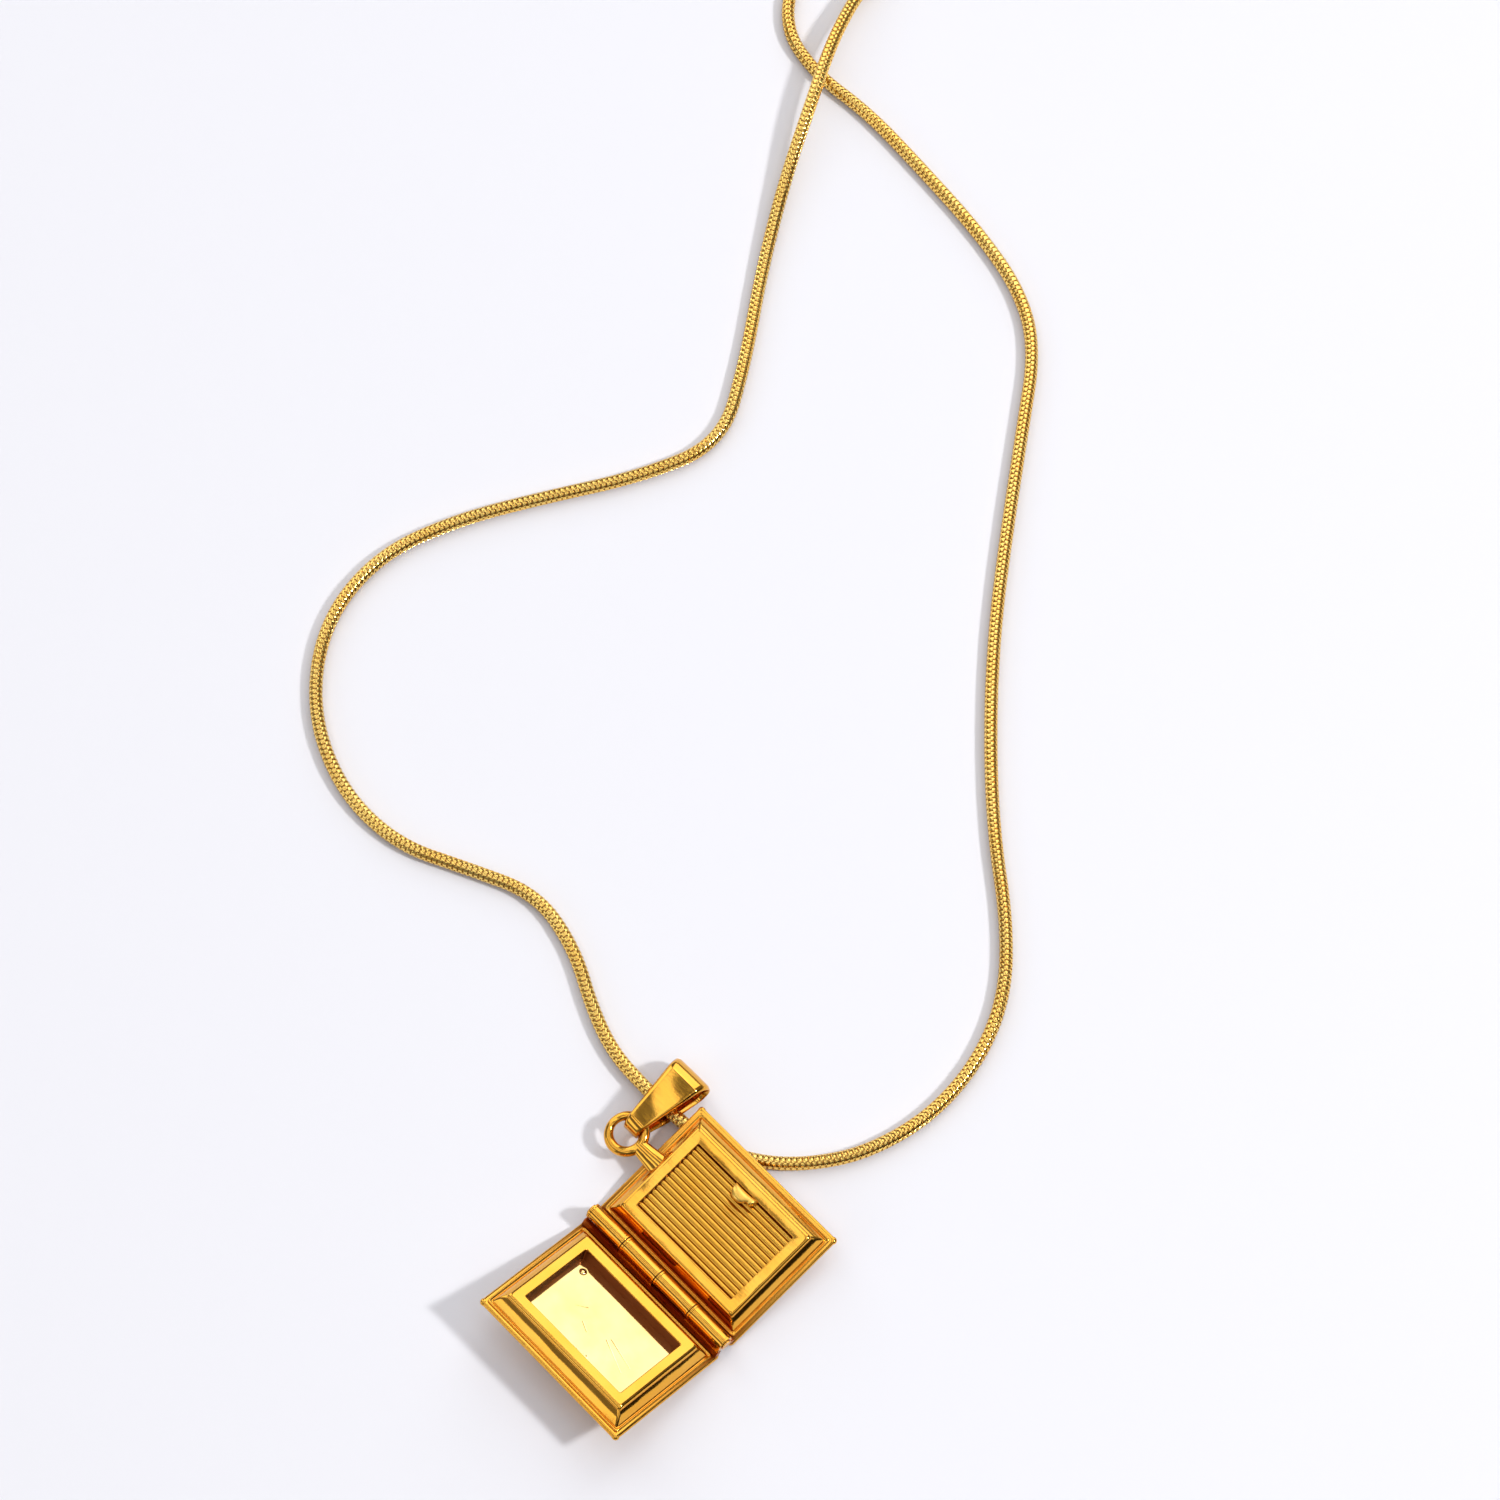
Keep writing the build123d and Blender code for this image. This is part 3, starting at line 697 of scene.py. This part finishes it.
# ---------------------------------------------------------------- window inserts
def height_field(low, high, columns, rows, height):
    """A closed slab whose top is height(u, v), over a rectangle."""
    points, faces = [], []
    for row in range(rows + 1):
        v = low.y + (high.y - low.y) * row / rows
        for column in range(columns + 1):
            u = low.x + (high.x - low.x) * column / columns
            points.append(Vector((u, v, height(u, v))))
    across_count = columns + 1
    for row in range(rows):
        for column in range(columns):
            corner = row * across_count + column
            faces.append((corner, corner + 1, corner + across_count + 1, corner + across_count))
    rim = list(range(across_count))
    rim += [row * across_count + columns for row in range(1, rows + 1)]
    rim += [rows * across_count + column for column in range(columns - 1, -1, -1)]
    rim += [row * across_count for row in range(rows - 1, 0, -1)]
    first = len(points)
    points += [Vector((points[index].x, points[index].y, low.z)) for index in rim]
    count = len(rim)
    for side in range(count):
        after = (side + 1) % count
        faces.append((first + side, first + after, rim[after], rim[side]))
    faces.append(tuple(reversed(range(first, first + count))))
    return points, faces


def make_ribbed_panel():
    """Fine half-round ribs along the hinge, pressed a little unevenly."""
    low, high = extent("ribbed_panel", BACK)
    pitch = (high.x - low.x) / RIBS
    grain_u, grain_v = RIB_DENT_SCALES

    def height(u, v):
        share = ((u - low.x) / pitch) % 1.0
        dent = RIB_DENT * noise.noise(Vector((u * grain_u, v * grain_v, RIB_DENT_SEED)))
        return high.z - RIB_RISE + RIB_RISE * math.sin(math.pi * share) ** RIB_FULLNESS + dent

    points, faces = height_field(low, high, RIBS * RIB_STEPS, RIB_ROWS, height)
    placed_points = placed(points, BACK)
    panel = piece("ribbed_panel_sheet", placed_points, faces, "locket_back", ["ribbed_panel"], SMOOTH_RIBS)
    # painted shade, darker the deeper a point lies between the ribs
    depths = [min((high.z - point.z) / RIB_RISE, 1.0) for point in points]
    painted_shade(panel, [VALLEY_SHADE * depth**VALLEY_POWER for depth in depths])
    return panel


def distance_to_line(u, v, line):
    """How far a place is from a run between two places."""
    (u0, v0), (u1, v1) = line
    run_u, run_v = u1 - u0, v1 - v0
    share = ((u - u0) * run_u + (v - v0) * run_v) / (run_u**2 + run_v**2)
    share = min(max(share, 0.0), 1.0)
    return math.hypot(u - u0 - share * run_u, v - v0 - share * run_v)


def make_picture_plate():
    """Bright floor of the front window: a little wavy, with a pip and a few scratches."""
    low, high = extent("picture_plate", FRONT)
    floor = low.z + PLATE_THICKNESS
    width, length = high.x - low.x, high.y - low.y
    pip_u, pip_v = low.x + PIP_INSET, low.y + PIP_INSET
    grain_u, grain_v = PLATE_WAVE_SCALES
    scratches = [
        [(low.x + width * u, low.y + length * v) for u, v in line] for line in PLATE_SCRATCHES
    ]

    def height(u, v):
        wave = PLATE_WAVE * noise.noise(Vector((u * grain_u, v * grain_v, PLATE_WAVE_SEED)))
        away = math.hypot(u - pip_u, v - pip_v) / PIP_RADIUS
        pip = PIP_HEIGHT * max(0.0, 1 - away**PIP_POWER)
        ditch = -DITCH_DEPTH * math.exp(-(((away - DITCH_RADIUS) / DITCH_WIDTH) ** 2))
        cut = sum(
            -SCRATCH_DEPTH * math.exp(-((distance_to_line(u, v, line) / SCRATCH_WIDTH) ** 2))
            for line in scratches
        )
        return floor + wave + pip + ditch + cut

    points, faces = height_field(low, high, PLATE_COLUMNS, PLATE_ROWS, height)
    placed_points = placed(points, FRONT)
    replaced = ["picture_plate"]
    plate = piece("picture_plate_sheet", placed_points, faces, "locket_front", replaced, SMOOTH_ROUND)
    # painted shade where the sheet dips below its waves: in the scratches, the ditch round the pip, and down its
    # sides
    cuts = [(floor - PLATE_WAVE - point.z) / (SCRATCH_DEPTH - PLATE_WAVE) for point in points]
    painted_shade(plate, [min(max(cut, 0.0), 1.0) for cut in cuts])
    return plate


def make_latch_tongue():
    """A thick bright catch that leans in over the ribs, with a waist and a bead at its lower end."""
    low, high = extent("latch_tongue", BACK)
    middle = (low.y + high.y) / 2
    points, faces = [], []
    for ring in range(1, TONGUE_RINGS):
        share = ring / TONGUE_RINGS
        v = middle + TONGUE_LONG / 2 * math.cos(math.pi * share)
        taper = 0.5 + 0.5 * math.cos(math.pi * share)
        swell = math.sin(math.pi * share) ** TONGUE_FULLNESS * (TONGUE_FOOT + (1 - TONGUE_FOOT) * taper)
        waist = TONGUE_WAIST * math.exp(-(((share - TONGUE_WAIST_AT) / TONGUE_WAIST_SPAN) ** 2))
        bead = TONGUE_BEAD * math.exp(-(((share - TONGUE_BEAD_AT) / TONGUE_BEAD_SPAN) ** 2))
        half = TONGUE_WIDE / 2 * swell * (1 - waist)
        rise = (high.z - low.z) / 2 * math.sqrt(math.sin(math.pi * share))
        for side in range(TONGUE_SIDES):
            angle = TURN * side / TONGUE_SIDES
            over = (1 + math.sin(angle)) / 2
            u = high.x - half * (1 + TONGUE_LEAN * over) + half * (1 + bead) * math.cos(angle)
            n = low.z + rise + rise * math.sin(angle) * (1 + bead)
            points.append(Vector((u, v, n)))
    for ring in range(TONGUE_RINGS - 2):
        bridge(faces, ring * TONGUE_SIDES, (ring + 1) * TONGUE_SIDES, TONGUE_SIDES)
    faces.append(tuple(reversed(range(TONGUE_SIDES))))
    faces.append(tuple(range((TONGUE_RINGS - 2) * TONGUE_SIDES, (TONGUE_RINGS - 1) * TONGUE_SIDES)))
    placed_points = placed(points, BACK)
    tongue = piece("latch_tongue_tab", placed_points, faces, "locket_back", ["latch_tongue"], SMOOTH_ROUND)
    return tongue


ribbed_panel = make_ribbed_panel()
picture_plate = make_picture_plate()
latch_tongue = make_latch_tongue()


# ---------------------------------------------------------------- bail
def hull_loop(circles, steps):
    """Points and outward directions round the hull of circles, each (x, z, radius)."""
    loop = []
    for index in range(steps):
        angle = TURN * index / steps
        out = Vector((math.cos(angle), 0, math.sin(angle)))
        best = max(circles, key=lambda circle: circle[0] * out.x + circle[1] * out.z + circle[2])
        loop.append((Vector((best[0], 0, best[1])) + best[2] * out, out))
    return loop


def make_bail():
    """A tapered ribbon with soft edges, arched on top, folded round the chain and through the ring."""
    low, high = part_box("bail")
    middle = (low[1] + high[1]) / 2
    left, right = low[0], high[0] + BAIL_REACH
    circles = [
        (left + RIBBON + BAIL_FOLD, BAIL_FOLD_HEIGHT, BAIL_FOLD + RIBBON / 2),
        (BAIL_BELLY, RIBBON + BAIL_BEND, BAIL_BEND + RIBBON / 2),
        (right - RIBBON - BAIL_BEND, RIBBON + BAIL_BEND, BAIL_BEND + RIBBON / 2),
    ]
    section = []
    for side in (1, -1):
        for step in range(RIBBON_STEPS + 1):
            section.append((side * (1 - 2 * step / RIBBON_STEPS), side))
    loop = hull_loop(circles, BAIL_STEPS)
    points, faces = [], []
    for place, out in loop:
        share_along = min(max((place.x - left) / (right - left), 0.0), 1.0)
        half = (BAIL_NARROW + (BAIL_WIDE - BAIL_NARROW) * share_along) / 2
        upper = max(0.0, out.z)
        arch = BAIL_ARCH * math.sin(math.pi * share_along) ** BAIL_ARCH_POWER * upper
        ribbon = RIBBON + BAIL_LIP * share_along * upper
        corner = ribbon * BAIL_CORNER
        for share, side in section:
            near_edge = max(0.0, abs(share) * half - (half - corner)) / corner
            thick = ribbon / 2 * math.sqrt(1 - BAIL_THINNING * near_edge**2)
            crown = BAIL_CROWN * (1 - share**2) * upper
            y = middle + share * half
            points.append(Vector((place.x, y, place.z + arch)) + out * (side * thick + crown))
    around = len(section)
    for index in range(len(loop)):
        after = (index + 1) % len(loop)
        bridge(faces, after * around, index * around, around)
    bail = piece("bail_ribbon", points, faces, "bail", ["bail"], SMOOTH_ROUND)
    return bail


def make_ring():
    """The soldered ring: wire that is thinner where the bail holds it, on a short spreading neck."""
    low, high = extent("pendant_ring", BACK)
    centre_u = (low.x + high.x) / 2
    centre_v = high.y - RING_MAJOR - RING_NODE_WIRE
    depth = (low.z + high.z) / 2
    points, faces = [], []
    for step in range(RING_STEPS):
        angle = TURN * step / RING_STEPS
        held = max(0.0, math.sin(angle)) ** 2
        wire = RING_WIRE + (RING_THIN - RING_WIRE) * held
        for side in range(NECK_SIDES):
            turn = TURN * side / NECK_SIDES
            reach = RING_MAJOR + wire * math.cos(turn)
            points.append(
                Vector(
                    (
                        centre_u + reach * math.cos(angle),
                        centre_v + reach * math.sin(angle),
                        depth + wire * math.sin(turn),
                    )
                )
            )
    for step in range(RING_STEPS):
        bridge(faces, step * NECK_SIDES, (step + 1) % RING_STEPS * NECK_SIDES, NECK_SIDES)
    first = len(points)
    start, end = low.y - NECK_SINK, centre_v - RING_MAJOR + RING_WIRE / 2
    for step in range(NECK_STEPS + 1):
        share = step / NECK_STEPS
        flare = (1 - share) ** NECK_FLARE
        wide = NECK_WAIST[0] + (NECK_BASE[0] - NECK_WAIST[0]) * flare
        tall = NECK_WAIST[1] + (NECK_BASE[1] - NECK_WAIST[1]) * flare
        for side in range(NECK_SIDES):
            turn = TURN * side / NECK_SIDES
            u = centre_u + wide * math.cos(turn)
            points.append(Vector((u, start + (end - start) * share, depth + tall * math.sin(turn))))
    for step in range(NECK_STEPS):
        bridge(faces, first + step * NECK_SIDES, first + (step + 1) * NECK_SIDES, NECK_SIDES)
    faces.append(tuple(reversed(range(first, first + NECK_SIDES))))
    last = first + NECK_STEPS * NECK_SIDES
    faces.append(tuple(range(last, last + NECK_SIDES)))
    placed_points = placed(points, BACK)
    ring = piece("soldered_ring", placed_points, faces, "locket_back", ["pendant_ring"], SMOOTH_ROUND)
    return ring


bail = make_bail()
ring = make_ring()


# ---------------------------------------------------------------- materials
def new_material(name):
    """An empty node material, and its tree."""
    material = bpy.data.materials.new(name)
    material.use_nodes = True
    tree = material.node_tree
    tree.nodes.clear()
    return material, tree


def add(tree, kind, settings=None, **inputs):
    """Adds a node.  An input is a value, or another node's output."""
    node = tree.nodes.new(kind)
    for name, value in (settings or {}).items():
        setattr(node, name, value)
    for name, value in inputs.items():
        numbered = name[0] == "i" and name[1:].isdigit()
        socket = node.inputs[int(name[1:]) if numbered else name.replace("_", " ")]
        if isinstance(value, bpy.types.NodeSocket):
            tree.links.new(value, socket)
        else:
            socket.default_value = value
    return node


def remap(tree, value, low, high, new_low=0.0, new_high=1.0):
    """Maps a value from one span to another, held inside it."""
    node = add(tree, "ShaderNodeMapRange", {"clamp": True}, Value=value)
    for name, limit in (("From Min", low), ("From Max", high), ("To Min", new_low), ("To Max", new_high)):
        node.inputs[name].default_value = limit
    return node.outputs[0]


def blend_colours(tree, share, first, second):
    """Mixes two colours, each a triple or another node's output."""
    node = add(tree, "ShaderNodeMix", {"data_type": "RGBA"}, i0=share)
    for index, colour in ((6, first), (7, second)):
        if isinstance(colour, bpy.types.NodeSocket):
            tree.links.new(colour, node.inputs[index])
        else:
            node.inputs[index].default_value = (*colour, 1)
    return node.outputs[2]


def metal(name, light, corner_shade, roughness, wave, pitting, scratch=0.12):
    """Metal whose colour drifts a little, with painted shade: darker in corners by ambient occlusion and where a
    point attribute marks painted shade, and finely wiped.
    """
    material, tree = new_material(name)
    where = add(tree, "ShaderNodeTexCoord").outputs["Object"]
    drift = add(tree, "ShaderNodeTexNoise", Vector=where, Scale=DRIFT_SCALE, Detail=3.0)
    # painted shade: ambient occlusion blends the colour towards the darker corner colour in corners
    corner = add(tree, "ShaderNodeAmbientOcclusion", {"samples": 4}, Distance=CORNER_REACH)
    warm = remap(tree, drift.outputs["Fac"], *NOISE_SPAN)
    base = blend_colours(tree, warm, light, [channel * share for channel, share in zip(light, WARM_SHARES)])
    open_share = remap(tree, corner.outputs["AO"], *CORNER_SPAN)
    shaded = blend_colours(tree, open_share, corner_shade, base)
    # painted shade from the point attribute: darker and rougher where it is set
    shade_mask = add(tree, "ShaderNodeAttribute", {"attribute_name": "painted_shade"}).outputs["Fac"]
    tint = blend_colours(tree, shade_mask, shaded, PAINTED_SHADE_COLOUR)
    stretch = add(tree, "ShaderNodeMapping", Vector=where, Scale=HAIR_STRETCH, Rotation=HAIR_TURN)
    hair = add(tree, "ShaderNodeTexNoise", Vector=stretch.outputs[0], Scale=HAIR_SCALE, Detail=2.0)
    wiped = [roughness * share for share in WIPE_SHARES]
    dull = remap(tree, hair.outputs["Fac"], *NOISE_SPAN, *wiped)
    sum_up = {"operation": "MULTIPLY_ADD"}
    rough = add(tree, "ShaderNodeMath", sum_up, i0=shade_mask, i1=SHADE_MARK_ROUGHNESS, i2=dull).outputs[0]
    ripple = add(tree, "ShaderNodeTexNoise", Vector=where, Scale=RIPPLE_SCALE, Detail=0.0)
    dimple = add(tree, "ShaderNodeTexNoise", Vector=where, Scale=PIT_SCALE, Detail=3.0)
    normal = None
    for texture, strength, depth in (
        (ripple, wave, RIPPLE_DEPTH),
        (dimple, pitting, PIT_DEPTH),
        (hair, scratch, HAIR_DEPTH),
    ):
        bump = add(tree, "ShaderNodeBump", Height=texture.outputs["Fac"], Strength=strength, Distance=depth)
        if normal:
            tree.links.new(normal, bump.inputs["Normal"])
        normal = bump.outputs[0]
    surface = {"Metallic": 1.0, "Base_Color": tint, "Roughness": rough, "Normal": normal}
    shader = add(tree, "ShaderNodeBsdfPrincipled", **surface)
    add(tree, "ShaderNodeOutputMaterial", Surface=shader.outputs[0])
    return material


def dress(obj, material):
    obj.data.materials.clear()
    obj.data.materials.append(material)


metals = {name: metal(f"{name}_look", **values) for name, values in METALS.items()}
for name, node in frame["nodes"].items():
    for holder in node.material_slots:
        holder.material = metals[NODE_METALS.get(name, "polished_gold")]
for made in (back_cover, front_cover, back_frame, front_frame, bail, ring):
    dress(made, metals["polished_gold"])
dress(latch_tongue, metals["satin_gold"])
dress(ribbed_panel, metals["ribbed_gold"])
dress(picture_plate, metals["mirror_gold"])
dress(chain, metals["chain_gold"])


# ---------------------------------------------------------------- floor and light
def make_floor():
    mesh = bpy.data.meshes.new("floor")
    signs = ((-1, -1), (1, -1), (1, 1), (-1, 1))
    corners = [(FLOOR_REACH * x, FLOOR_REACH * y, 0) for x, y in signs]
    mesh.from_pydata(corners, [], [(0, 1, 2, 3)])
    floor = bpy.data.objects.new("floor", mesh)
    bpy.context.scene.collection.objects.link(floor)
    material, tree = new_material("pale_floor")
    paint = {"Roughness": FLOOR_ROUGHNESS, "Base_Color": (*FLOOR_COLOUR, 1)}
    shader = add(tree, "ShaderNodeBsdfPrincipled", **paint)
    add(tree, "ShaderNodeOutputMaterial", Surface=shader.outputs[0])
    dress(floor, material)


def lamp(name, heading, elevation, distance, size, power):
    """A soft box that faces the target.  Its heading is seen from the picture: 0 away, 90 right."""
    data = bpy.data.lights.new(name, "AREA")
    data.shape = "RECTANGLE"
    data.size, data.size_y = size
    data.energy = power
    light = bpy.data.objects.new(name, data)
    bpy.context.scene.collection.objects.link(light)
    place = from_target(VIEW_HEADING + math.radians(heading), math.radians(elevation), distance)
    aim(light, place, VIEW_TARGET)


def make_room():
    """A pale room that is dark low down on the picture's near right side."""
    world = bpy.data.worlds.new("room")
    world.use_nodes = True
    tree = world.node_tree
    way = add(tree, "ShaderNodeTexCoord").outputs["Generated"]
    dark_way = from_target(VIEW_HEADING + DARK_HEADING, DARK_ELEVATION, 1.0) - VIEW_TARGET
    facing = add(tree, "ShaderNodeVectorMath", {"operation": "DOT_PRODUCT"}, i0=way)
    facing.inputs[1].default_value = dark_way
    share = remap(tree, facing.outputs["Value"], *DARK_SPAN)
    shade = blend_colours(tree, share, ROOM_LIGHT, ROOM_DARK)
    tree.links.new(shade, tree.nodes["Background"].inputs[0])
    bpy.context.scene.world = world


make_floor()
for name, setting in LAMPS.items():
    lamp(name, *setting)
make_room()
bpy.context.scene.view_settings.view_transform = "Standard"
